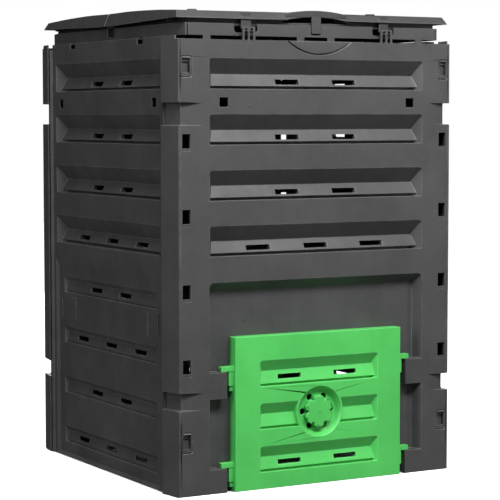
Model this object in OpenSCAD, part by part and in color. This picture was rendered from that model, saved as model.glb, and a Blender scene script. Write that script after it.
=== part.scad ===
// Panel compost bin: four hooked wall panels, a raised collar, a two-leaf lid
// on a centre bar and a lift-up hatch with a rotary vent.
// Millimetres, +Z up, front towards -Y, origin at the bottom centre of the box round the bin.

/* [Body] */
// Width over the corner returns
body_w = 600; // [450:10:900]
// Depth over the corner returns
body_d = 600; // [450:10:900]
// Height of the four walls
body_h = 815; // [650:5:1200]
// Thickness of the moulded skin
skin = 3; // [2:0.5:4]
// How far each side panel stands back from the corner returns
side_inset = 9; // [7:1:25]
// Length of the corner return, front to back
return_l = 49; // [40:1:70]
// How far the corner return flares out
return_flare = 10; // [4:1:14]
// Depth of the two corner waists
waist_in = 9; // [4:1:12]

/* [Grooves] */
// Depth of the four upper grooves
groove_d = 20; // [12:1:26]
// Groove height as a share of the groove spacing
groove_share = 0.545; // [0.4:0.005:0.7]
// Width of one air vent
vent_w = 49; // [30:1:70]
// Height of one air vent
vent_h = 9; // [5:0.5:12]
// Depth of the framed lower field on the side and back panels
field_d = 4; // [3:0.5:10]

/* [Corner slots] */
// Width of one locking slot
slot_w = 16; // [12:1:20]
// Height of one locking slot
slot_h = 30; // [20:1:36]

/* [Hatch] */
// Hatch width as a share of the body width
hatch_share = 0.5933; // [0.45:0.001:0.62]
// Height of the hatch
hatch_h = 281; // [200:1:320]
// How far the hatch face stands out of the wall
hatch_proud = 4; // [2:0.5:10]
// Depth of the bay that the hatch sits in
bay_d = 20; // [16:1:26]
// Radius of the round dish at its face
dish_r = 47; // [40:1:54]
// Outer radius of the knob's six lobes
knob_r = 29.5; // [24:0.5:32]
// Radius of the knob's stem
stem_r = 5; // [3:0.5:8]

/* [Collar] */
// Height of the collar strips above the walls
collar_h = 29; // [20:1:45]
// How far the front and back collar strips stand in from the wall face
collar_in = 12; // [10:1:20]

/* [Lid] */
// How far the lid's rim stands in from the corners
lid_in = 8; // [4:1:20]
// Height of the lid above its rim at the free edge
lid_h = 13; // [10:1:30]
// Radius of the two hinge pins
pin_r = 2.5; // [2:0.25:4]
// Width of the gap between the two leaves
leaf_gap = 3.4; // [3:0.2:12]

/* [Clearances] */
// Radial running clearance of pins and the knob's stem
run_c = 0.06; // [0.02:0.01:0.1]
// Gap between parts that sit inside one another
part_c = 0.6; // [0.4:0.1:1]

/* [Node] */
// Which piece to build

/* [Hidden] */
$fn = 48;
black = [0.13, 0.13, 0.14];
green = [0.25, 0.68, 0.32];
dot_h = 0.6;
shift_y = (hatch_proud - dot_h) / 2;
half_w = body_w / 2;
half_d = body_d / 2;
face_x = half_w - return_flare;
face_y = half_d - return_flare;
fade_x = half_w * 0.81;
fade_y = half_d * 0.81;
top_flange = collar_in + skin + 5;
// Locking slots and waists, from the ground up
slot_x = half_w * 0.914;
function slot_z(i) = body_h * (0.119 + 0.1642 * i);
waists = [[body_h * 0.190, body_h * 0.228], [body_h * 0.8135, body_h * 0.8625]];
// Hatch and bay
hatch_w = body_w * hatch_share;
hatch_x = hatch_w / 2;
hatch_z = 0.5;
hatch_back = bay_d - part_c;
bay_x = hatch_x + 51;
bay_top = hatch_z + hatch_h + 100;
ledge_x = hatch_x + 15;
ledges = [[0, hatch_h * 0.157], [hatch_h * 0.609, hatch_h * 0.78]];
lift = 75;
// Upper grooves, lowest first
groove_zone = body_h - 33 - (bay_top + 47);
groove_pitch = groove_zone / (3 + groove_share);
groove_h = groove_pitch * groove_share;
groove_x = bay_x - 1;
function groove_z(i) = bay_top + 47 + i * groove_pitch;
vent_x = groove_x * 0.267;
side_vent_x = half_d * 0.212;
// Lower field of the side and back panels
field_top = bay_top + 12;
field_x = bay_x + 1;
low_h = field_top * 0.081;
function low_z(i) = field_top * (0.0732 + 0.2545 * i);
// Panel planes
side_x = half_w - side_inset;
side_y = half_d - return_l - 4;
// Collar
collar_top = body_h + collar_h;
collar_x = face_x - 26;
collar_side_x = half_w - 22;
collar_z = body_h + 7;
side_h = body_h + 6;
clip_x = half_w * 0.49;
// Lid
lid_x = half_w - lid_in;
lid_y = half_d - lid_in;
rim_free = collar_top + 9;
rim_seam = collar_top + 3;
lid_edge = rim_free + lid_h;
lid_crown = lid_edge + 6.2;
pin_y = leaf_gap / 2 + 10;
pin_z = lid_crown - 9.5;
knuckle_r = pin_r + 3;
pin_x = collar_side_x - 12;
bar_y = pin_y + 4;
bar_top = pin_z - sqrt(10 * 10 + 9.5 * 9.5) - 0.7;
// Vent in the hatch
vent_z = hatch_z + hatch_h * 0.477;
dish_d = 12;
dish_floor = dish_d - hatch_proud;
shutter_r = dish_r - 8;
ring_r = shutter_r - 9;

// Puts every piece so that the box round the bin is centred front to back
module placed() {
  translate([0, shift_y, 0]) children();
}

// Panel frames: x along the wall, y = 0 on its face and growing inwards
module on_front() {
  translate([0, -half_d, 0]) children();
}

module on_back() {
  rotate([0, 0, 180]) on_front() children();
}

module on_left() {
  translate([-side_x, 0, 0]) rotate([0, 0, -90]) children();
}

module on_right() {
  rotate([0, 0, 180]) on_left() children();
}

module both_x() {
  children();
  mirror([1, 0, 0]) children();
}

// A profile in depth and height, drawn out along the wall
module along_x(len) {
  translate([-len / 2, 0, 0]) rotate([90, 0, 90]) linear_extrude(len) children();
}

// A face shape, cut inwards from y0 to y1
module through_y(y0, y1) {
  translate([0, y1, 0]) rotate([90, 0, 0]) linear_extrude(y1 - y0) children();
}

// Rectangle with its two top corners rounded
module arch_rect(hw, h, r) {
  translate([-hw, -1]) square([2 * hw, h - r + 1]);
  translate([-hw + r, 0]) square([2 * (hw - r), h]);
  translate([hw - r, h - r]) circle(r);
  translate([-hw + r, h - r]) circle(r);
}

module round_rect(w, h, r) {
  translate([-w / 2 + r, -h / 2]) square([w - 2 * r, h]);
  translate([-w / 2, -h / 2 + r]) square([w, h - 2 * r]);
  for (x = [-1, 1], z = [-1, 1])
    translate([x * (w / 2 - r), z * (h / 2 - r)]) circle(r);
}

// Hollow of one groove: sloped roof, strip leaning out, narrow channel under its lip
module groove_cut(hw, h, d, strip) {
  rz = h * strip;
  cz = h * 0.09;
  intersection() {
    along_x(2 * hw + 4)
      polygon([[-1, 0], [-1, h + (h - rz) / d], [d, rz], [d * 0.45, cz], [d - 1.5, cz],
        [d - 1.5, 0]]);
    linear_extrude(h + 4)
      polygon([[-hw - 0.65, -1], [-hw + d * 0.65, d], [hw - d * 0.65, d], [hw + 0.65, -1]]);
    through_y(-1, d) arch_rect(hw + 0.3, h + 0.5, h * 0.18);
  }
}

// Skin that backs one groove
module groove_shell(hw, h, d, strip) {
  intersection() {
    along_x(2 * hw + 2 * skin)
      polygon([[skin / 2, -skin], [skin / 2, h + skin], [d + skin, h * strip + skin],
        [d + skin, -skin]]);
    translate([0, 0, -skin]) linear_extrude(h + 2 * skin)
      polygon([[-hw - skin, 0], [-hw + d * 0.65 - skin, d + skin],
        [hw - d * 0.65 + skin, d + skin], [hw + skin, 0]]);
  }
}

// Row of vents: an odd row has one in the middle
module vent_row(count, step, z, y0, y1) {
  for (i = [0 : count - 1])
    translate([(i - (count - 1) / 2) * 2 * step - vent_w / 2, y0, z - vent_h / 2])
      cube([vent_w, y1 - y0, vent_h]);
}

// Shells and cuts of the four upper grooves
module upper_shells(hw) {
  for (i = [0 : 3])
    translate([0, 0, groove_z(i)]) groove_shell(hw, groove_h, groove_d, 0.48);
}

module upper_cuts(hw, step) {
  for (i = [0 : 3])
    translate([0, 0, groove_z(i)]) groove_cut(hw, groove_h, groove_d, 0.48);
  for (i = [1 : 3])
    vent_row(2, step, groove_z(i) + groove_h * 0.235, 2, groove_d + skin + 1);
  vent_row(3, step, groove_z(0) + groove_h * 0.235, 2, groove_d + skin + 1);
}

// Framed lower field with four shallow grooves
module field_shells(hw, low_hw) {
  intersection() {
    along_x(2 * hw + 2 * skin)
      polygon([[skin / 2, -skin], [skin / 2, field_top + skin],
        [field_d + skin, field_top - 12 + skin], [field_d + skin, 6 - skin]]);
    linear_extrude(field_top + skin)
      polygon([[-hw - skin, 0], [-hw + 6 - skin, field_d + skin], [hw - 6 + skin, field_d + skin],
        [hw + skin, 0]]);
  }
  for (i = [0 : 3])
    translate([0, field_d, low_z(i)]) groove_shell(low_hw, low_h, 7, 0.7);
}

module field_cuts(hw, low_hw, step) {
  intersection() {
    along_x(2 * hw + 4)
      polygon([[-1, 2 - 4 / field_d], [-1, field_top + 12 / field_d], [field_d, field_top - 12],
        [field_d, 6]]);
    translate([0, 0, -1]) linear_extrude(field_top + 2)
      polygon([[-hw - 6 / field_d, -1], [-hw + 6, field_d], [hw - 6, field_d],
        [hw + 6 / field_d, -1]]);
  }
  for (i = [0 : 3])
    translate([0, field_d, low_z(i)]) groove_cut(low_hw, low_h, 7, 0.7);
  for (i = [0 : 3])
    vent_row(3 - i % 2, step, low_z(i) + low_h * 0.4, field_d + 1, field_d + 7 + skin + 1);
}

// Two raised pads between the upper grooves of the field
module field_pads(hw) {
  for (x = [-1, 1])
    translate([x * hw * 0.68 - 10, field_d - 1, field_top * 0.7]) cube([20, 1.5, 45]);
}

// Square lock holes beside the second groove
module side_holes(x) {
  for (s = [-1, 1])
    translate([s * x - 9, -1, body_h * 0.853]) cube([18, skin + 2, 17]);
}

module gate_dots(x, z) {
  for (s = [-1, 1])
    translate([s * x, 0.5, z]) rotate([90, 0, 0]) cylinder(h = 0.5 + dot_h, r = 2.6);
}

// Corner: strip beside the fade line plus the flared return, at full depth
module corner_plan() {
  polygon([[-fade_x, 0], [-face_x, 0], [-half_w, return_l], [-half_w + skin, return_l],
    [-face_x + skin, skin], [-fade_x, skin]]);
}

// The same corner drawn in by the waist
module waist_plan() {
  polygon([[-fade_x, 0], [-face_x + waist_in, waist_in], [-half_w + waist_in, return_l],
    [-half_w + waist_in + skin, return_l], [-face_x + waist_in + skin, waist_in + skin],
    [-fade_x, skin]]);
}

// Shelf between the two
module shelf_plan() {
  polygon([[-fade_x, 0], [-face_x, 0], [-half_w, return_l],
    [-half_w + waist_in + skin, return_l], [-face_x + waist_in + skin, waist_in + skin],
    [-fade_x, skin]]);
}

module corner_column() {
  z = [0, waists[0][0], waists[0][1], waists[1][0], waists[1][1], body_h];
  for (i = [0, 2, 4])
    translate([0, 0, z[i]]) linear_extrude(z[i + 1] - z[i]) corner_plan();
  translate([0, 0, body_h - 1]) linear_extrude(side_h - body_h + 1)
    polygon([[-face_x - return_flare / 5, return_l / 5], [-half_w, return_l],
      [-half_w + skin, return_l], [-face_x - return_flare / 5 + skin, return_l / 5]]);
  for (w = waists) {
    translate([0, 0, w[0] - skin]) linear_extrude(w[1] - w[0] + 2 * skin) waist_plan();
    translate([0, 0, w[0] - skin]) linear_extrude(skin) shelf_plan();
    translate([0, 0, w[1]]) linear_extrude(skin) shelf_plan();
  }
}

// Upright line beside the corner edge
module corner_line() {
  translate([-face_x + 1.8, -1, -1]) cube([2, 2.5, body_h + 2]);
}

// Snap clip on the wall top: three fingers, a head and two eyes
module wall_clip() {
  difference() {
    union() {
      for (x = [-11, 0, 11])
        translate([x - 2, 0.5, body_h - skin]) cube([4, 4, 24]);
      translate([-13, 0.5, body_h + 15]) cube([26, 4, 8]);
    }
    for (x = [-5.5, 5.5])
      translate([x, -1, body_h + 18.5]) rotate([-90, 0, 0]) cylinder(h = 8, r = 2.6);
  }
}

module slot_cuts() {
  for (i = [0 : 5])
    translate([-slot_x - slot_w / 2, -1, slot_z(i) - slot_h / 2]) cube([slot_w, skin + 2, slot_h]);
  for (i = [0, 5])
    translate([-slot_x, 0, slot_z(i)]) through_y(-1, 1.8) difference() {
      round_rect(slot_w + 7, slot_h + 8, 5);
      round_rect(slot_w + 3.4, slot_h + 4.4, 3);
    }
}

// Wall with returns, flange, clips and slots, before its field or bay is made
module end_wall_solid() {
  translate([-fade_x, 0, 0]) cube([2 * fade_x, skin, body_h]);
  both_x() corner_column();
  translate([0, 0, body_h - skin]) linear_extrude(skin)
    polygon([[-face_x, 0], [-half_w, return_l], [-half_w + 14, return_l],
      [-half_w + 14, top_flange], [half_w - 14, top_flange], [half_w - 14, return_l],
      [half_w, return_l], [face_x, 0]]);
  both_x() translate([-clip_x, 0, 0]) wall_clip();
  upper_shells(groove_x);
  grip_shell();
}

module end_wall_cuts() {
  upper_cuts(groove_x, vent_x);
  both_x() slot_cuts();
  both_x() corner_line();
  side_holes(half_w * 0.663);
  grip_cut();
}

// Half-disc under the lid's grip: an arc-shaped groove and the skin behind it
module grip_cut() {
  intersection() {
    translate([0, 3.5, body_h + 81]) rotate([90, 0, 0]) difference() {
      cylinder(h = 5, r = 107, $fn = 96);
      translate([0, 0, -1]) cylinder(h = 7, r = 103.6, $fn = 96);
    }
    translate([-80, -1, body_h - 40]) cube([160, 5, 41]);
  }
}

module grip_shell() {
  intersection() {
    translate([0, 3.5 + skin, body_h + 81]) rotate([90, 0, 0]) difference() {
      cylinder(h = 4 + skin / 2, r = 107 + skin, $fn = 96);
      translate([0, 0, -1]) cylinder(h = 6 + skin / 2, r = 103.6 - skin, $fn = 96);
    }
    translate([-90, 1, body_h - 40]) cube([180, 4 + skin, 40]);
  }
}

// Bay of the front wall
module bay_shell() {
  intersection() {
    along_x(2 * bay_x + 2 * skin)
      polygon([[skin / 2, 0], [skin / 2, bay_top + skin], [bay_d + skin, bay_top - 18 + skin],
        [bay_d + skin, 0]]);
    linear_extrude(bay_top + skin)
      polygon([[-bay_x - skin, 0], [-bay_x + 9 - skin, bay_d + skin],
        [bay_x - 9 + skin, bay_d + skin], [bay_x + skin, 0]]);
  }
}

module bay_cut() {
  intersection() {
    along_x(2 * bay_x + 4)
      polygon([[-1, -1], [-1, bay_top + 18 / bay_d], [bay_d, bay_top - 18], [bay_d, -1]]);
    translate([0, 0, -1]) linear_extrude(bay_top + 3)
      polygon([[-bay_x - 9 / bay_d, -1], [-bay_x + 9, bay_d], [bay_x - 9, bay_d],
        [bay_x + 9 / bay_d, -1]]);
    through_y(-1, bay_d) arch_rect(bay_x + 0.3, bay_top + 0.5, 12);
  }
  translate([-hatch_x + 12, bay_d - 1, hatch_z + 21])
    cube([hatch_w - 24, skin + 2, hatch_h - 36]);
}

// Hook ledges at the two sides of the bay, open underneath
module ledge(z0, z1) {
  difference() {
    translate([-bay_x - 1, 0, z0]) cube([bay_x + 1 - ledge_x, bay_d + 1, z1 - z0]);
    translate([-bay_x + 8, skin, z0 - 1]) cube([bay_x - 8 - ledge_x - skin, bay_d + 2, z1 - z0 - skin + 1]);
    translate([-ledge_x - 10.4, 4, z1 - skin - 1]) cube([6.7, 9, skin + 2]);
  }
}

module front_wall() {
  color(black) placed() on_front() {
    difference() {
      union() {
        end_wall_solid();
        bay_shell();
      }
      end_wall_cuts();
      bay_cut();
    }
    both_x() for (l = ledges) ledge(l[0], l[1]);
    gate_dots(clip_x, body_h * 0.855);
    translate([0, bay_d, 0]) gate_dots(clip_x, bay_top - 72);
  }
}

module back_wall() {
  color(black) placed() on_back() {
    difference() {
      union() {
        end_wall_solid();
        field_shells(field_x - 8, groove_x - 24);
      }
      end_wall_cuts();
      field_cuts(field_x - 8, groove_x - 24, vent_x);
    }
    gate_dots(clip_x, body_h * 0.855);
    field_pads(field_x - 8);
  }
}

// Flange of a side panel that tucks behind the corner return of the end wall
module side_flange_plan() {
  y1 = half_d - skin - part_c;
  gap = skin + 1.1;
  polygon([[-side_y, 0], [-side_y - 2, -side_inset + gap],
    [-y1, -side_inset + return_flare + gap - 0.6],
    [-y1, -side_inset + 38], [-y1 + skin, -side_inset + 38],
    [-y1 + skin, -side_inset + return_flare + gap + 2.4], [-side_y - 5, -side_inset + gap + 3.4],
    [-side_y - 1, skin], [-side_y + 1, skin], [-side_y + 1, 0]]);
}

module side_flange() {
  y1 = half_d - skin - part_c;
  difference() {
    linear_extrude(body_h - skin - part_c - 1) side_flange_plan();
    for (w = waists)
      translate([-half_d, -side_inset - 1, w[0] - skin - 1])
        cube([half_d - side_y - 3, 60, w[1] - w[0] + 2 * skin + 2]);
    for (i = [0 : 5])
      translate([-half_d, half_w - side_inset - slot_x - slot_w / 2, slot_z(i) - slot_h / 2])
        cube([12, slot_w, slot_h]);
  }
  for (i = [0 : 5])
    translate([-y1 - skin, half_w - side_inset - slot_x - slot_w / 2 - 1, slot_z(i) - slot_h / 2 + 0.4])
      hook_tab();
}

// Tab that reaches from behind into the foot of a locking slot
module hook_tab() {
  translate([0, 1.6, 0]) cube([skin + 1, slot_w - 1.2, 4]);
  translate([skin, 0, -3]) cube([skin + part_c, slot_w + 2, 7]);
}

module side_panel() {
  tab_d = side_x - collar_side_x;
  difference() {
    union() {
      translate([-side_y, 0, 0]) cube([2 * side_y, skin, side_h]);
      translate([-side_y, 0, side_h - skin]) cube([2 * side_y, tab_d + 6, skin]);
      upper_shells(side_y - 17);
      field_shells(side_y - 12, side_y - 43);
    }
    upper_cuts(side_y - 17, side_vent_x);
    field_cuts(side_y - 12, side_y - 43, side_vent_x);
    side_holes(side_y - 42);
    for (s = [-1, 1])
      translate([s * half_d * 0.497 - 12, -1, side_h - 11]) cube([24, tab_d + 5.6, 13]);
    for (s = [-1, 1])
      translate([s * (side_y - 35) - 2.5, field_d - 1, field_top * 0.715])
        cube([5, skin + 2, 38]);
  }
  both_x() side_flange();
  gate_dots(half_d * 0.433, body_h * 0.738);
  translate([0, field_d, 0]) gate_dots(half_d * 0.433, field_top * 0.52);
  field_pads(side_y - 12);
}

module left_wall() {
  color(black) placed() on_left() side_panel();
}

module right_wall() {
  color(black) placed() on_right() side_panel();
}

// Wedge keys that lock the flange behind the framed slots, top and bottom of each corner
module key_at(i) {
  translate([-slot_x - slot_w / 2 + 0.8, 2 * skin + 2 * part_c + 0.3, slot_z(i) - slot_h / 2 - 4])
    cube([slot_w - 1.6, 3, slot_h + 8]);
  translate([-slot_x - slot_w / 2 + 0.8, skin + part_c + 0.8, slot_z(i) + slot_h / 2 - 6])
    cube([slot_w - 1.6, 4, 5.5]);
}

module corner_keys() {
  color(black) placed() {
    on_front() both_x() for (i = [0, 5]) key_at(i);
    on_back() both_x() for (i = [0, 5]) key_at(i);
  }
}

// Front or back collar strip
module collar_end() {
  z0 = collar_z;
  difference() {
    union() {
      translate([-collar_x, collar_in, z0]) cube([2 * collar_x, skin, collar_top - z0]);
      for (x = [-collar_x + 30, -40, 25, collar_x - 45])
        translate([x, collar_in, body_h]) cube([15, skin, 8]);
    }
    for (s = [-1, 1])
      translate([s * clip_x, 0, body_h + 13 + 12]) through_y(collar_in - 1, collar_in + skin + 1)
        round_rect(48, 24, 6);
    for (s = [-1, 1])
      translate([s * clip_x - 24, collar_in - 1, body_h + 22]) cube([48, skin + 2, collar_h]);
    translate([-11, collar_in - 1, body_h + 18]) cube([22, skin + 2, collar_h]);
    translate([0, 0, body_h + 18]) through_y(collar_in - 1, collar_in + skin + 1)
      round_rect(22, 14, 4);
  }
}

module collar_front() {
  color(black) placed() on_front() collar_end();
}

module collar_back() {
  color(black) placed() on_back() collar_end();
}

// Side collar strip with its two bent ends and hanging tabs
module collar_side() {
  z0 = collar_z;
  x0 = side_x - collar_side_x;
  e = side_y + 3;
  y1 = half_d - collar_in - 1;
  dx = half_w - side_inset - collar_x - 5;
  difference() {
    translate([0, 0, z0]) linear_extrude(collar_top - z0)
      polygon([[-e, x0], [-y1, dx], [-y1, dx + 3.2], [-e, x0 + skin], [e, x0 + skin],
        [y1, dx + 3.2], [y1, dx], [e, x0]]);
    translate([-bar_y - 0.5, x0 - 1, bar_top - 20.5]) cube([2 * bar_y + 1, skin + 2, 40]);
  }
  for (s = [-1, 1])
    translate([s * half_d * 0.497 + 3, x0, side_h - 16]) cube([7, skin, 20]);
  for (s = [-1, 1])
    translate([s * half_d * 0.25 - 8, x0, side_h]) cube([16, skin, 3]);
}

module collar_left() {
  color(black) placed() on_left() collar_side();
}

module collar_right() {
  color(black) placed() on_right() collar_side();
}

// Bar across the mouth that carries the hinge lugs
module centre_bar() {
  bx = collar_side_x + 1;
  color(black) placed() difference() {
    union() {
      translate([-bx, -bar_y, bar_top - skin]) cube([2 * bx, 2 * bar_y, skin]);
      for (s = [-1, 1])
        translate([-bx, s * (bar_y - skin / 2) - skin / 2, bar_top - 20]) cube([2 * bx, skin, 20]);
      for (x = [-1, 1], y = [-1, 1])
        translate([x * (pin_x - 4) - 4, y * pin_y, 0]) lug();
      for (y = [-1, 1])
        translate([-4, y * pin_y, 0]) lug();
    }
    for (y = [-1, 1])
      translate([-bx, y * pin_y, pin_z]) rotate([0, 90, 0]) cylinder(h = 2 * bx, r = pin_r + run_c);
  }
}

module lug() {
  translate([0, 0, pin_z]) rotate([0, 90, 0]) cylinder(h = 8, r = knuckle_r);
  translate([0, -knuckle_r, bar_top - 1]) cube([8, 2 * knuckle_r, pin_z - bar_top + 1]);
}

module hinge_pin(y) {
  translate([-pin_x, y, pin_z]) rotate([0, 90, 0]) cylinder(h = 2 * pin_x, r = pin_r);
}

module hinge_pin_front() {
  color(black) placed() hinge_pin(-pin_y);
}

module hinge_pin_rear() {
  color(black) placed() hinge_pin(pin_y);
}

// Outer form of one leaf, shrunk by t for the hollow underneath
module leaf_form(t) {
  y0 = -lid_y;
  y1 = -leaf_gap / 2;
  intersection() {
    along_x(2 * lid_x + 2)
      polygon([[y0 + t, rim_free - 1 - t * 2], [y0 + t, rim_free], [y0 + 10 + t, lid_edge - t],
        [y0 * 0.72, lid_edge + 3.4 - t], [y0 * 0.5, lid_crown - 1 - t], [y0 * 0.3, lid_crown - t],
        [y1 - 2 + t * 2, lid_crown - 1 - t], [y1 + t, lid_crown - 3 - t],
        [y1 + t, rim_seam - t * 2], [y1 - 30, rim_seam - t * 2], [y0 + 30, rim_free - 1 - t * 2]]);
    translate([0, -lid_y - 1, 0]) rotate([-90, 0, 0]) mirror([0, 1, 0]) linear_extrude(lid_y + 2)
      polygon([[-lid_x + t, rim_seam - 10], [-lid_x + t, rim_seam], [-lid_x + 10 + t, lid_edge + 6 - t],
        [-lid_x + 70, lid_crown + 2 - t], [lid_x - 70, lid_crown + 2 - t],
        [lid_x - 10 - t, lid_edge + 6 - t], [lid_x - t, rim_seam], [lid_x - t, rim_seam - 10]]);
  }
}

// Low hood over the finger grip
module grip_hood(r, z, y0, y1) {
  intersection() {
    translate([0, y0, z - r]) rotate([-90, 0, 0]) cylinder(h = y1 - y0, r = r, $fn = 160);
    translate([-66, y0, rim_free - 5]) cube([132, y1 - y0, 30]);
  }
}

module leaf() {
  difference() {
    union() {
      difference() {
        union() {
          leaf_form(0);
          difference() {
            grip_hood(330, lid_edge + 5, -lid_y + 3, -lid_y + 60);
            translate([-80, -lid_y, rim_free - 6]) cube([160, 6, lid_h - 2]);
          }
        }
        leaf_form(skin);
      }
      for (s = [-1, 1])
        translate([s * half_w * 0.647, -half_d * 0.563, lid_crown - 3]) cylinder(h = 5.8, r = 9);
      leaf_ribs();
      leaf_knuckles();
      leaf_snaps();
      leaf_skirt();
    }
    grip_hood(334, rim_free + 6, -lid_y - 1, -lid_y + 16);
    for (x = [-1, 1])
      translate([x * (pin_x - 4) - 5, -pin_y - 9, pin_z - 20]) cube([10, 21, 20 + 6.4]);
    translate([-5, -pin_y - 9, pin_z - 20]) cube([10, 21, 20 + 6.4]);
    translate([-pin_x - 1, -pin_y, pin_z]) rotate([0, 90, 0])
      cylinder(h = 2 * pin_x + 2, r = pin_r + run_c);
  }
}

// Short ribs that show under the rim, and two long stiffeners
module leaf_ribs() {
  for (s = [-1, 1], y = [0.25, 0.43, 0.82])
    translate([s * (lid_x - 15) - 7, -half_d * y - 1.5, rim_free - 5]) cube([14, skin, 10]);
  for (s = [-1, 1])
    translate([s * half_w * 0.3 - 1.5, -lid_y + 25, lid_edge - 8]) cube([skin, lid_y - 60, 8]);
}

// Eyes on the leaf, between the lugs of the bar
module leaf_knuckles() {
  for (x = [-0.72, -0.32, 0.32, 0.72])
    translate([x * pin_x - 15, -pin_y, 0]) {
      translate([0, 0, pin_z]) rotate([0, 90, 0]) cylinder(h = 30, r = knuckle_r);
      translate([0, -knuckle_r, pin_z]) cube([30, 2 * knuckle_r, 7]);
    }
}

// Inner skirt that hangs just inside the collar
module leaf_skirt() {
  y0 = -half_d + collar_in + skin + 3;
  x0 = collar_x - 3;
  z0 = collar_top - 4;
  translate([-x0 - 2.4, y0, z0]) cube([2 * x0 + 4.8, 2.4, lid_edge - 1 - z0]);
  for (x = [-x0 - 1.2, x0 + 1.2])
    translate([x, 0, 0]) along_x(2.4)
      polygon([[y0 + 0.4, z0], [y0 + 0.4, lid_edge - 1], [-lid_y * 0.72, lid_edge + 2],
        [-lid_y * 0.5, lid_crown - 2], [-pin_y - 7, lid_crown - 2], [-pin_y - 7, z0]]);
}

// Blocks that press behind the wall clips
module leaf_snaps() {
  for (s = [-1, 1])
    translate([s * clip_x - 10, -half_d + lid_in + 2.5, body_h + 20])
      cube([20, 5, lid_edge - body_h - 22]);
}

module lid_front() {
  color(black) placed() leaf();
}

module lid_rear() {
  color(black) placed() rotate([0, 0, 180]) leaf();
}

// Tongue that drops into the collar's centre slot to stop the wind lifting a leaf
module latch() {
  y = -half_d + collar_in - 1;
  translate([-9.5, y, body_h + 14]) cube([19, 4, rim_free + 7 - body_h - 14]);
  translate([-9.5, y, body_h + 14]) cube([19, 6, 2]);
}

module latch_front() {
  color(black) placed() latch();
}

module latch_rear() {
  color(black) placed() rotate([0, 0, 180]) latch();
}

// Hatch: a tray with three grooves, the vent dish and four hooks
module hatch() {
  gx = hatch_x * 0.714;
  gh = hatch_h * 0.17;
  color(green) placed() on_front() {
    difference() {
      union() {
        difference() {
          translate([-hatch_x, -hatch_proud, hatch_z])
            cube([hatch_w, hatch_proud + hatch_back, hatch_h]);
          translate([-hatch_x + skin, -hatch_proud + skin, hatch_z + skin])
            cube([hatch_w - 2 * skin, hatch_proud + hatch_back, hatch_h - 2 * skin]);
        }
        for (f = [0.109, 0.39, 0.67])
          translate([0, -hatch_proud, hatch_z + hatch_h * f]) groove_shell(gx, gh, 12, 0.56);
        translate([0, -hatch_proud + 1, vent_z]) rotate([-90, 0, 0])
          cylinder(h = dish_d + skin - 1, r1 = dish_r + skin, r2 = dish_r - 4);
      }
      for (f = [0.109, 0.67])
        translate([0, -hatch_proud, hatch_z + hatch_h * f]) groove_cut(gx, gh, 12, 0.56);
      difference() {
        translate([0, -hatch_proud, hatch_z + hatch_h * 0.39]) groove_cut(gx, gh, 12, 0.56);
        translate([0, -hatch_proud - 2, vent_z]) rotate([-90, 0, 0])
          cylinder(h = 30, r = dish_r + skin);
      }
      for (f = [0.109, 0.67])
        translate([0, -hatch_proud, hatch_z + hatch_h * f])
          vent_row(2, hatch_x * 0.337, gh * 0.31, 1, 12 + skin + 1);
      translate([0, -hatch_proud, vent_z]) rotate([-90, 0, 0])
        cylinder(h = dish_d, r1 = dish_r, r2 = dish_r - 8);
      translate([0, dish_floor - 1, vent_z]) rotate([-90, 0, 0]) vent_ring(skin + 2);
      translate([0, dish_floor - 1, vent_z]) rotate([-90, 0, 0])
        cylinder(h = skin + 2, r = stem_r + run_c);
    }
    both_x() for (l = ledges) hatch_hook(l[1]);
  }
}

module vent_ring(h) {
  for (i = [0 : 5])
    rotate([0, 0, i * 60]) translate([ring_r, 0, 0]) cylinder(h = h, r = 6);
}

// Hook: leg on the hatch side, arm over the ledge, lip down behind its front plate
module hatch_hook(z) {
  translate([-hatch_x - 9, 5, z - 26]) cube([10, 13, 35]);
  translate([-hatch_x - 6, 7, z - 36]) cube([7, 9, 12]);
  translate([-ledge_x - 9.4, 4, z + 0.4]) cube([9.4 + ledge_x - hatch_x, 12, 9]);
  translate([-ledge_x - 9.4, 6, z - 14]) cube([5, 5, 16]);
}

// Six-lobed knob on its stem
module vent_knob() {
  y = dish_floor - 0.4;
  color(green) placed() on_front() translate([0, y, vent_z]) rotate([90, 0, 0]) {
    linear_extrude(10.5) {
      circle(knob_r - 6.5);
      for (i = [0 : 5], s = [-9, 9])
        rotate(30 + i * 60 + s) translate([knob_r - 7, 0]) circle(7);
    }
    translate([0, 0, 10]) cylinder(h = 1.1, r = 2.6);
    translate([0, 0, -skin - 7]) cylinder(h = skin + 8, r = stem_r);
  }
}

module vent_shutter() {
  y = dish_floor + skin + 0.4;
  color(green) placed() on_front() translate([0, y, vent_z]) rotate([-90, 0, 0]) difference() {
    cylinder(h = 2.2, r = shutter_r);
    translate([0, 0, -1]) vent_ring(5);
    translate([0, 0, -1]) cylinder(h = 5, r = stem_r + run_c);
  }
}

module vent_clip() {
  y = dish_floor + skin + 2.9;
  color(green) placed() on_front() translate([0, y, vent_z]) rotate([-90, 0, 0]) difference() {
    cylinder(h = 2.5, r = stem_r + 4);
    translate([0, 0, -1]) cylinder(h = 5, r = stem_r + run_c);
  }
}

front_wall();
back_wall();
left_wall();
right_wall();
corner_keys();
collar_front();
collar_back();
collar_left();
collar_right();
centre_bar();
hinge_pin_front();
hinge_pin_rear();
lid_front();
lid_rear();
latch_front();
latch_rear();
hatch();
vent_knob();
vent_shutter();
vent_clip();
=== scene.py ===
import math

import bmesh
import bpy
from mathutils import Euler, Matrix, Vector


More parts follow.
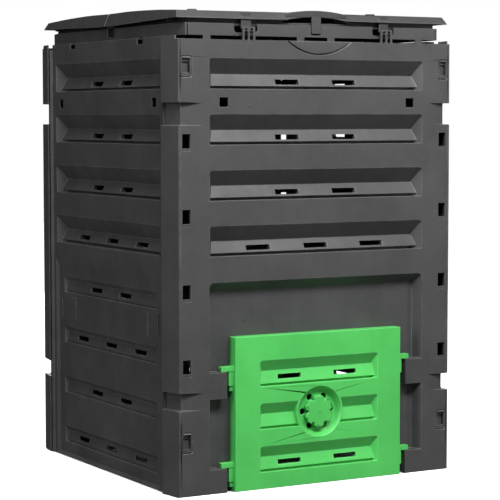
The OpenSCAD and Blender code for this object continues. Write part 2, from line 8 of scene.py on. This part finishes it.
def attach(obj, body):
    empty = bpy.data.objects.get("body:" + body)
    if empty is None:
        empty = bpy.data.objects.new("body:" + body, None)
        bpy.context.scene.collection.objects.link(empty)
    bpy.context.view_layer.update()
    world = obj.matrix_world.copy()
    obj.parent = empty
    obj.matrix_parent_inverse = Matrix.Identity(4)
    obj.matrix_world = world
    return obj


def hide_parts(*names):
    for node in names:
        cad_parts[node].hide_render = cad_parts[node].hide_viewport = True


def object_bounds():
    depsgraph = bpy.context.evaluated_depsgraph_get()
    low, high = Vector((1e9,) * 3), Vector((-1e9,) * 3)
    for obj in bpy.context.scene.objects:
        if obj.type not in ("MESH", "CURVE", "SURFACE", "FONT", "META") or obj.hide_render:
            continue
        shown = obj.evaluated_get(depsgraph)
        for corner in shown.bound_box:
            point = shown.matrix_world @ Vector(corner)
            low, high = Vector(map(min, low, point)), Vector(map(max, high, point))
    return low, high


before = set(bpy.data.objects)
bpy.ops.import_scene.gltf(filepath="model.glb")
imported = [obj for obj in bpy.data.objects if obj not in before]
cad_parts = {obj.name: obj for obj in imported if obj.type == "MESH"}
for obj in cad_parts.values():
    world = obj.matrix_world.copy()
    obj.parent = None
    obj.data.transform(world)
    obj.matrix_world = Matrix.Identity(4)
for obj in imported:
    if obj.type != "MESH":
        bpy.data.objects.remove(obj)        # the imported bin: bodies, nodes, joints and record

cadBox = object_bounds()
print("frame loaded,", len(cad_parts), "nodes")


rounding = {
    "shortestEdge": 0.0005, "sharpFrom": 25, "weld": 0.00001, "smoothBelow": 32, "segments": 2,
    "profile": 0.5, "pastBox": 0.00001, "faceWeight": 100}


# small helpers

def deselectAll():
    if bpy.context.mode != "OBJECT":
        bpy.ops.object.mode_set(mode="OBJECT")
    bpy.ops.object.select_all(action="DESELECT")


def makeActive(obj):
    deselectAll()
    obj.select_set(True)
    bpy.context.view_layer.objects.active = obj


def pickEdges(obj, wanted):
    # selects the edges that wanted(edge) says yes to, in edit mode
    bpy.ops.mesh.select_mode(type="EDGE")
    bpy.ops.mesh.select_all(action="DESELECT")
    mesh = bmesh.from_edit_mesh(obj.data)
    count = 0
    for edge in mesh.edges:
        if wanted(edge):
            edge.select_set(True)
            count += 1
    bmesh.update_edit_mesh(obj.data)
    return count


def isSharp(edge):
    # the gate dots have the shortest edges and are too shallow to round
    if edge.calc_length() <= rounding["shortestEdge"] or len(edge.link_faces) != 2:
        return False
    return edge.calc_face_angle(0) > math.radians(rounding["sharpFrom"])


# shader node groups, each built once and placed in several materials

def startGroup(name, inputs, outputs):
    group = bpy.data.node_groups.new(name, "ShaderNodeTree")
    for label, kind, value in inputs:
        socket = group.interface.new_socket(label, in_out="INPUT", socket_type=kind)
        if value is not None:
            socket.default_value = value
    for label, kind in outputs:
        group.interface.new_socket(label, in_out="OUTPUT", socket_type=kind)
    return group, group.nodes.new("NodeGroupInput"), group.nodes.new("NodeGroupOutput")


def mathNode(tree, operation, first, second=None, clamp=False):
    node = tree.nodes.new("ShaderNodeMath")
    node.operation = operation
    node.use_clamp = clamp
    for slot, value in enumerate((first, second)):
        if value is None:
            continue
        if isinstance(value, (int, float)):
            node.inputs[slot].default_value = value
        else:
            tree.links.new(value, node.inputs[slot])
    return node.outputs[0]


def noiseNode(tree, vector, scale, detail=3.0, roughness=0.5):
    node = tree.nodes.new("ShaderNodeTexNoise")
    node.inputs["Detail"].default_value = detail
    node.inputs["Roughness"].default_value = roughness
    tree.links.new(vector, node.inputs["Vector"])
    if isinstance(scale, (int, float)):
        node.inputs["Scale"].default_value = scale
    else:
        tree.links.new(scale, node.inputs["Scale"])
    return node.outputs[0]


def rangeNode(tree, value, low, high, toLow=0.0, toHigh=1.0):
    node = tree.nodes.new("ShaderNodeMapRange")
    node.interpolation_type = "SMOOTHSTEP"
    tree.links.new(value, node.inputs["Value"])
    for label, number in (("From Min", low), ("From Max", high), ("To Min", toLow), ("To Max", toHigh)):
        node.inputs[label].default_value = number
    return node.outputs[0]


def mixColour(tree, mask, first, second):
    node = tree.nodes.new("ShaderNodeMix")
    node.data_type = "RGBA"
    if isinstance(mask, (int, float)):
        node.inputs["Factor"].default_value = mask
    else:
        tree.links.new(mask, node.inputs["Factor"])
    for label, value in (("A", first), ("B", second)):
        socket = [s for s in node.inputs if s.name == label and s.type == "RGBA"][0]
        if isinstance(value, (tuple, list)):
            socket.default_value = value
        else:
            tree.links.new(value, socket)
    return [s for s in node.outputs if s.type == "RGBA"][0]


def buildMouldGrain():
    # fine spark-eroded tooth of a moulded panel, with a soft orange-peel under it
    group, start, end = startGroup("mouldGrain", [
        ("Vector", "NodeSocketVector", None),
        ("Tooth Scale", "NodeSocketFloat", 700.0),
        ("Peel Scale", "NodeSocketFloat", 90.0),
        ("Peel Share", "NodeSocketFloat", 0.5)],
        [("Height", "NodeSocketFloat"), ("Speckle", "NodeSocketFloat")])
    tooth = noiseNode(group, start.outputs["Vector"], start.outputs["Tooth Scale"], 4.0, 0.6)
    peel = noiseNode(group, start.outputs["Vector"], start.outputs["Peel Scale"], 2.0, 0.45)
    high = mathNode(group, "MULTIPLY", peel, start.outputs["Peel Share"])
    height = mathNode(group, "ADD", tooth, high)
    group.links.new(height, end.inputs["Height"])
    group.links.new(rangeNode(group, tooth, 0.36, 0.64), end.inputs["Speckle"])
    return group


def buildFlowMottle():
    # clouds and faint upright streaks left by the melt as it filled the mould
    group, start, end = startGroup("flowMottle", [
        ("Vector", "NodeSocketVector", None),
        ("Cloud Scale", "NodeSocketFloat", 7.0),
        ("Streak Scale", "NodeSocketFloat", 45.0),
        ("Streak Share", "NodeSocketFloat", 0.35)],
        [("Mask", "NodeSocketFloat")])
    stretch = group.nodes.new("ShaderNodeVectorMath")
    stretch.operation = "MULTIPLY"
    stretch.inputs[1].default_value = (1.0, 1.0, 0.12)
    group.links.new(start.outputs["Vector"], stretch.inputs[0])
    clouds = noiseNode(group, start.outputs["Vector"], start.outputs["Cloud Scale"], 5.0, 0.55)
    streaks = noiseNode(group, stretch.outputs[0], start.outputs["Streak Scale"], 2.0, 0.5)
    cloud = rangeNode(group, clouds, 0.3, 0.7)
    streak = rangeNode(group, streaks, 0.3, 0.7)
    part = mathNode(group, "MULTIPLY", streak, start.outputs["Streak Share"])
    rest = mathNode(group, "SUBTRACT", 1.0, start.outputs["Streak Share"])
    both = mathNode(group, "ADD", part, mathNode(group, "MULTIPLY", cloud, rest), clamp=True)
    group.links.new(both, end.inputs["Mask"])
    return group


def buildEdgeRubAndHighlight():
    # where hands and the ground polish an edge: patchy, never an even line; on the rounded-edge materials
    # these lighter patches are also a painted highlight along the edges
    group, start, end = startGroup("edgeRubAndHighlight", [
        ("Vector", "NodeSocketVector", None),
        ("Amount", "NodeSocketFloat", 0.5),
        ("Patch Scale", "NodeSocketFloat", 30.0)],
        [("Mask", "NodeSocketFloat")])
    spread = noiseNode(group, start.outputs["Vector"], start.outputs["Patch Scale"], 4.0, 0.6)
    patches = rangeNode(group, spread, 0.35, 0.62, 0.35, 1.0)
    mask = mathNode(group, "MULTIPLY", patches, start.outputs["Amount"], clamp=True)
    group.links.new(mask, end.inputs["Mask"])
    return group


def buildSettledDust():
    # pale dust that lies only on what faces up
    group, start, end = startGroup("settledDust", [
        ("Vector", "NodeSocketVector", None),
        ("Amount", "NodeSocketFloat", 0.2),
        ("Dust Scale", "NodeSocketFloat", 60.0)],
        [("Mask", "NodeSocketFloat")])
    geometry = group.nodes.new("ShaderNodeNewGeometry")
    split = group.nodes.new("ShaderNodeSeparateXYZ")
    group.links.new(geometry.outputs["Normal"], split.inputs[0])
    upward = rangeNode(group, split.outputs["Z"], 0.55, 0.98)
    specks = noiseNode(group, start.outputs["Vector"], start.outputs["Dust Scale"], 6.0, 0.65)
    grains = rangeNode(group, specks, 0.38, 0.72)
    settled = mathNode(group, "MULTIPLY", upward, grains)
    mask = mathNode(group, "MULTIPLY", settled, start.outputs["Amount"])
    group.links.new(mask, end.inputs["Mask"])
    return group


groups = {
    "grain": buildMouldGrain(),
    "mottle": buildFlowMottle(),
    "rubAndHighlight": buildEdgeRubAndHighlight(),
    "dust": buildSettledDust(),
}
print("node groups built")


# materials

# rubbed is the lighter tone of rubbed patches; on the rounded-edge materials it is also a painted
# highlight along the edges
blackPanel = {
    "deep": (0.031, 0.031, 0.032, 1), "pale": (0.058, 0.058, 0.059, 1), "rubbedAndHighlight": (0.15, 0.15, 0.15, 1),
    "dustColour": (0.26, 0.25, 0.235, 1), "roughLow": 0.40, "roughHigh": 0.55, "bump": 0.00022,
    "cloud": 9.0, "streak": 45.0, "streakShare": 0.15, "tooth": 480.0, "peel": 90.0,
    "dust": 0.12, "speckle": 0.5}
blackLid = dict(blackPanel, deep=(0.020, 0.020, 0.021, 1), pale=(0.038, 0.038, 0.039, 1), roughLow=0.46,
                roughHigh=0.60, bump=0.00028)
blackSmall = dict(blackPanel, cloud=18.0, streak=90.0, roughLow=0.34, roughHigh=0.48, dust=0.15)
greenHatch = {
    "deep": (0.062, 0.46, 0.085, 1), "pale": (0.085, 0.55, 0.110, 1), "rubbedAndHighlight": (0.16, 0.68, 0.22, 1),
    "dustColour": (0.30, 0.45, 0.27, 1), "roughLow": 0.36, "roughHigh": 0.50, "bump": 0.00016,
    "cloud": 9.0, "streak": 60.0, "streakShare": 0.1, "tooth": 800.0, "peel": 110.0,
    "dust": 0.12, "speckle": 0.15}
hingeSteel = {
    "deep": (0.32, 0.33, 0.34, 1), "pale": (0.46, 0.47, 0.48, 1), "rubbedAndHighlight": (0.6, 0.6, 0.6, 1),
    "dustColour": (0.25, 0.24, 0.22, 1), "roughLow": 0.28, "roughHigh": 0.42, "bump": 0.00008,
    "cloud": 25.0, "streak": 200.0, "streakShare": 0.5, "tooth": 1200.0, "peel": 200.0,
    "dust": 0.05, "speckle": 0.2}


sheen = {"rubbedSmoother": 0.12, "dustRougher": 0.3, "ior": 1.5}


def placeGroup(tree, kind, vector, values):
    node = tree.nodes.new("ShaderNodeGroup")
    node.node_tree = groups[kind]
    tree.links.new(vector, node.inputs["Vector"])
    for label, value in values.items():
        node.inputs[label].default_value = value
    return node


def surfaceMaterial(name, look, rubAndHighlight, metallic=0.0):
    material = bpy.data.materials.new(name)
    material.use_nodes = True
    tree = material.node_tree
    shader = tree.nodes["Principled BSDF"]
    place = tree.nodes.new("ShaderNodeTexCoord").outputs["Object"]
    grain = placeGroup(tree, "grain", place, {"Tooth Scale": look["tooth"], "Peel Scale": look["peel"]})
    mottle = placeGroup(tree, "mottle", place, {
        "Cloud Scale": look["cloud"], "Streak Scale": look["streak"], "Streak Share": look["streakShare"]})
    wearAndHighlight = placeGroup(tree, "rubAndHighlight", place, {"Amount": rubAndHighlight})
    dusty = placeGroup(tree, "dust", place, {"Amount": look["dust"]})
    colour = mixColour(tree, mottle.outputs["Mask"], look["deep"], look["pale"])
    fleck = mathNode(tree, "MULTIPLY", grain.outputs["Speckle"], look["speckle"])
    colour = mixColour(tree, fleck, colour, look["pale"])
    # rubbed patches lighten the colour: wear on the faces, and on the edge materials also a painted
    # highlight
    colour = mixColour(tree, wearAndHighlight.outputs["Mask"], colour, look["rubbedAndHighlight"])
    colour = mixColour(tree, dusty.outputs["Mask"], colour, look["dustColour"])
    tree.links.new(colour, shader.inputs["Base Color"])
    rough = rangeNode(tree, mottle.outputs["Mask"], 0.0, 1.0, look["roughHigh"], look["roughLow"])
    polish = mathNode(tree, "MULTIPLY", wearAndHighlight.outputs["Mask"], sheen["rubbedSmoother"])
    dulled = mathNode(tree, "MULTIPLY", dusty.outputs["Mask"], sheen["dustRougher"])
    rough = mathNode(tree, "SUBTRACT", rough, polish)
    rough = mathNode(tree, "ADD", rough, dulled, clamp=True)
    tree.links.new(rough, shader.inputs["Roughness"])
    bump = tree.nodes.new("ShaderNodeBump")
    bump.inputs["Strength"].default_value = 1.0
    bump.inputs["Distance"].default_value = look["bump"]
    tree.links.new(grain.outputs["Height"], bump.inputs["Height"])
    tree.links.new(bump.outputs["Normal"], shader.inputs["Normal"])
    shader.inputs["Metallic"].default_value = metallic
    shader.inputs["IOR"].default_value = sheen["ior"]
    return material


def finishPair(name, look, faceRub, edgeRubAndHighlight):
    # one material for the faces and a lighter, more rubbed one for the rounded edges: wear together with a
    # painted highlight along them
    return surfaceMaterial(name, look, faceRub), surfaceMaterial(name + "Edge", look, edgeRubAndHighlight)


finishes = {
    "panel": finishPair("blackPanel", blackPanel, 0.06, 0.45),
    "lid": finishPair("blackLid", blackLid, 0.05, 0.35),
    "small": finishPair("blackSmall", blackSmall, 0.06, 0.5),
    "green": finishPair("greenHatch", greenHatch, 0.04, 0.55),
}
pinSteel = surfaceMaterial("hingeSteel", hingeSteel, 0.1, 1.0)
print("materials built")


# the moulded pieces: each CAD solid with its edges rounded as the mould leaves them

moulded = {
    "front_wall": {"finish": "panel", "body": "frame", "slot": "black_plastic", "round": 0.0010},
    "back_wall": {"finish": "panel", "body": "frame", "slot": "black_plastic", "round": 0.0010},
    "left_wall": {"finish": "panel", "body": "frame", "slot": "black_plastic", "round": 0.0010},
    "right_wall": {"finish": "panel", "body": "frame", "slot": "black_plastic", "round": 0.0010},
    "corner_keys": {"finish": "small", "body": "frame", "slot": "black_plastic", "round": 0.0003},
    "collar_front": {"finish": "panel", "body": "frame", "slot": "black_plastic", "round": 0.0008},
    "collar_back": {"finish": "panel", "body": "frame", "slot": "black_plastic", "round": 0.0008},
    "collar_left": {"finish": "panel", "body": "frame", "slot": "black_plastic", "round": 0.0008},
    "collar_right": {"finish": "panel", "body": "frame", "slot": "black_plastic", "round": 0.0008},
    "centre_bar": {"finish": "small", "body": "frame", "slot": "black_plastic", "round": 0.0008},
    "lid_front": {"finish": "lid", "body": "leaf_front", "slot": "black_plastic", "round": 0.0009},
    "lid_rear": {"finish": "lid", "body": "leaf_rear", "slot": "black_plastic", "round": 0.0009},
    "latch_front": {"finish": "small", "body": "leaf_front", "slot": "black_plastic", "round": 0.0005},
    "latch_rear": {"finish": "small", "body": "leaf_rear", "slot": "black_plastic", "round": 0.0005},
    "hatch": {"finish": "green", "body": "hatch", "slot": "green_plastic", "round": 0.0010},
    "vent_knob": {"finish": "green", "body": "vent", "slot": "green_plastic", "round": 0.0010},
    "vent_shutter": {"finish": "green", "body": "vent", "slot": "green_plastic", "round": 0.0004},
    "vent_clip": {"finish": "green", "body": "vent", "slot": "green_plastic", "round": 0.0004},
}


def flattenBeyond(piece, side, plane):
    # corners that the rounding pushed out of the bin's box are pressed back onto it
    bpy.ops.mesh.select_mode(type="VERT")
    bpy.ops.mesh.select_all(action="DESELECT")
    mesh = bmesh.from_edit_mesh(piece.data)
    out = [v for v in mesh.verts if (v.co.y - plane) * side > rounding["pastBox"]]
    for vertex in out:
        vertex.select_set(True)
    bmesh.update_edit_mesh(piece.data)
    if out:
        bpy.ops.transform.resize(value=(1, 0, 1), center_override=(0, plane, 0))


def roundEdges(piece, radius):
    # the rounded strips take the second material, which carries the painted edge highlight
    picked = pickEdges(piece, isSharp)
    bpy.ops.mesh.bevel(offset=radius, segments=rounding["segments"], profile=rounding["profile"],
                       clamp_overlap=False, material=1)
    return picked


def mouldedPiece(node, plan):
    makeActive(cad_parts[node])
    bpy.ops.object.duplicate()
    piece = bpy.context.view_layer.objects.active
    piece.parent = None
    piece.name = node + "_moulded"
    piece.data.name = piece.name
    for key in [k for k in piece.keys() if k.startswith("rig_")]:
        del piece[key]
    piece.data.materials.clear()
    for material in finishes[plan["finish"]]:
        piece.data.materials.append(material)
    bpy.ops.object.mode_set(mode="EDIT")
    bpy.ops.mesh.select_all(action="SELECT")
    bpy.ops.mesh.remove_doubles(threshold=rounding["weld"])
    picked = roundEdges(piece, plan["round"])
    flattenBeyond(piece, -1, cadBox[0][1])
    flattenBeyond(piece, 1, cadBox[1][1])
    bpy.ops.object.mode_set(mode="OBJECT")
    bpy.ops.object.shade_smooth_by_angle(angle=math.radians(rounding["smoothBelow"]))
    # the wide faces keep their own direction and only the rounded edges blend
    bpy.ops.object.modifier_add(type="WEIGHTED_NORMAL")
    piece.modifiers[-1].keep_sharp = True
    piece.modifiers[-1].weight = rounding["faceWeight"]
    bpy.ops.object.modifier_apply(modifier=piece.modifiers[-1].name)
    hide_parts(node)
    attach(piece, plan["body"])
    print("  ", piece.name, picked, "edges rounded,", len(piece.data.polygons), "faces")


for node, plan in moulded.items():
    mouldedPiece(node, plan)
for pin in ("hinge_pin_front", "hinge_pin_rear"):
    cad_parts[pin].data.materials.clear()
    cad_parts[pin].data.materials.append(pinSteel)
print("moulded pieces done")


# stage, lights and camera

studio = {
    "floorSize": 16.0, "floorDrop": 0.0005, "floorColour": (0.92, 0.92, 0.92, 1), "floorRough": 0.9,
    "glow": 1.1, "dark": 0.295, "bounce": (0.15, 0.15, 0.15, 1), "surround": 0.05}


def buildStage():
    deselectAll()
    bpy.ops.mesh.primitive_plane_add(size=studio["floorSize"], location=(0, 0, -studio["floorDrop"]))
    floor = bpy.context.active_object
    floor.name = "studioFloor"
    material = bpy.data.materials.new("paleFloor")
    material.use_nodes = True
    shader = material.node_tree.nodes["Principled BSDF"]
    shader.inputs["Base Color"].default_value = studio["floorColour"]
    shader.inputs["Roughness"].default_value = studio["floorRough"]
    shader.inputs["Emission Color"].default_value = (1, 1, 1, 1)
    # bright to the eye, but it throws little light back up at the bin and none through the open base
    tree = material.node_tree
    split = tree.nodes.new("ShaderNodeSeparateXYZ")
    tree.links.new(tree.nodes.new("ShaderNodeTexCoord").outputs["Object"], split.inputs[0])
    across = mathNode(tree, "ABSOLUTE", split.outputs["X"])
    along = mathNode(tree, "ABSOLUTE", split.outputs["Y"])
    outside = mathNode(tree, "GREATER_THAN", mathNode(tree, "MAXIMUM", across, along), studio["dark"])
    tree.links.new(mathNode(tree, "MULTIPLY", outside, studio["glow"]), shader.inputs["Emission Strength"])
    dim = tree.nodes.new("ShaderNodeBsdfDiffuse")
    dim.inputs["Color"].default_value = studio["bounce"]
    mixer = tree.nodes.new("ShaderNodeMixShader")
    tree.links.new(tree.nodes.new("ShaderNodeLightPath").outputs["Is Camera Ray"], mixer.inputs[0])
    tree.links.new(dim.outputs[0], mixer.inputs[1])
    tree.links.new(shader.outputs[0], mixer.inputs[2])
    tree.links.new(mixer.outputs[0], tree.nodes["Material Output"].inputs["Surface"])
    floor.data.materials.append(material)
    world = bpy.data.worlds.new("studioWorld")
    bpy.context.scene.world = world
    world.use_nodes = True
    tree = world.node_tree
    backdrop = tree.nodes["Background"]
    backdrop.inputs["Color"].default_value = (1, 1, 1, 1)
    backdrop.inputs["Strength"].default_value = 1.0
    surround = tree.nodes.new("ShaderNodeBackground")
    surround.inputs["Color"].default_value = (1, 1, 1, 1)
    surround.inputs["Strength"].default_value = studio["surround"]
    path = tree.nodes.new("ShaderNodeLightPath")
    mix = tree.nodes.new("ShaderNodeMixShader")
    tree.links.new(path.outputs["Is Camera Ray"], mix.inputs[0])
    tree.links.new(surround.outputs[0], mix.inputs[1])
    tree.links.new(backdrop.outputs[0], mix.inputs[2])
    tree.links.new(mix.outputs[0], tree.nodes["World Output"].inputs["Surface"])


softLights = {
    "keyBox": {"at": (-0.1, -2.0, 2.5), "aim": (0.0, -0.3, 0.7), "size": (2.2, 0.8), "power": 110},
    "topBox": {"at": (-0.3, -0.2, 3.4), "aim": (0.0, -0.1, 0.8), "size": (2.6, 2.4), "power": 6},
    "upperStrip": {"at": (-0.7, -1.3, 1.8), "aim": (-0.1, -0.3, 0.75), "size": (1.4, 0.3), "power": 12},
    "backBox": {"at": (1.6, 3.2, 1.0), "aim": (0.0, 0.2, 0.45), "size": (2.0, 1.2), "power": 55},
    "rightStrip": {"at": (2.6, -2.6, 1.2), "aim": (0.2, -0.3, 0.5), "size": (0.4, 2.4), "power": 14},
    "leftStrip": {"at": (-3.0, -0.9, 1.6), "aim": (-0.3, -0.2, 0.5), "size": (0.4, 2.0), "power": 34},
}


def addSoftLight(name, plan):
    bpy.ops.object.light_add(type="AREA", location=plan["at"])
    light = bpy.context.active_object
    light.name = name
    light.data.shape = "RECTANGLE"
    light.data.size, light.data.size_y = plan["size"]
    light.data.energy = plan["power"]
    light.rotation_euler = (Vector(plan["aim"]) - Vector(plan["at"])).to_track_quat("-Z", "Y").to_euler()


viewpoint = {
    "at": (-1.8298, -3.2873, 0.6777), "turn": 29.3955, "down": 3.9945, "roll": -0.049,
    "sensor": 36, "lens": 137.4}


def addCamera():
    bpy.ops.object.camera_add(location=viewpoint["at"])
    camera = bpy.context.active_object
    camera.name = "studioCamera"
    aimed = Euler((math.radians(90 - viewpoint["down"]), 0, math.radians(-viewpoint["turn"]))).to_matrix()
    camera.rotation_euler = (aimed @ Matrix.Rotation(math.radians(viewpoint["roll"]), 3, "Z")).to_euler()
    camera.data.sensor_width = viewpoint["sensor"]
    camera.data.lens = viewpoint["lens"]
    bpy.context.scene.camera = camera
    bpy.context.scene.view_settings.view_transform = "Standard"


deselectAll()
buildStage()
for lightName, plan in softLights.items():
    addSoftLight(lightName, plan)
addCamera()
deselectAll()
print("stage, lights and camera set")
